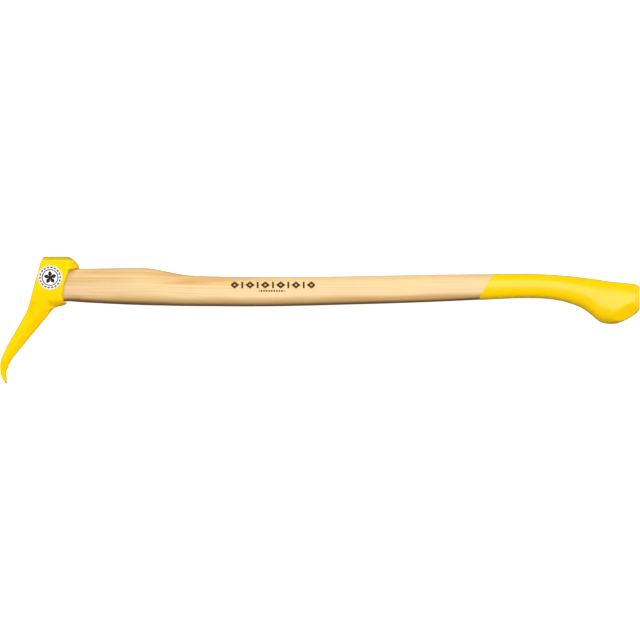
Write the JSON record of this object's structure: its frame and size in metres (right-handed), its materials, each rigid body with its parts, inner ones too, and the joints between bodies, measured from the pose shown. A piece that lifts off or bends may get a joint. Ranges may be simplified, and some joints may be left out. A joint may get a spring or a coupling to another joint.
{
  "type": "log pick",
  "caption": "Forged log pick with a long curved, hooked beak wedged on a curved wooden handle with a lacquer-dipped flared end, for dragging and turning logs.",
  "frame": {"origin": "centre of the footprint of the tool lying on its side, on the plane of its rest cheek", "axes": "+X along the handle from the head to the knob, +Y from the beak towards the poll, +Z across the thickness, away from the surface that the tool lies on"},
  "size_m": [1, 0.1986, 0.0443],
  "materials": {
    "head_paint": "semi-gloss yellow paint over forged steel",
    "ash_wood": "sanded ash with a thin clear varnish",
    "wedge_wood": "sawn hardwood, end grain showing",
    "bare_steel": "plain steel, dull",
    "dip_lacquer": "glossy yellow dip lacquer",
    "label_film": null
  },
  "bodies": {
    "root": {"pick_head": "head_paint", "handle": "ash_wood", "wood_wedge": "wedge_wood", "ring_wedge": "bare_steel", "grip_coating": "dip_lacquer", "cheek_label": "label_film"}
  },
  "joints": []
}
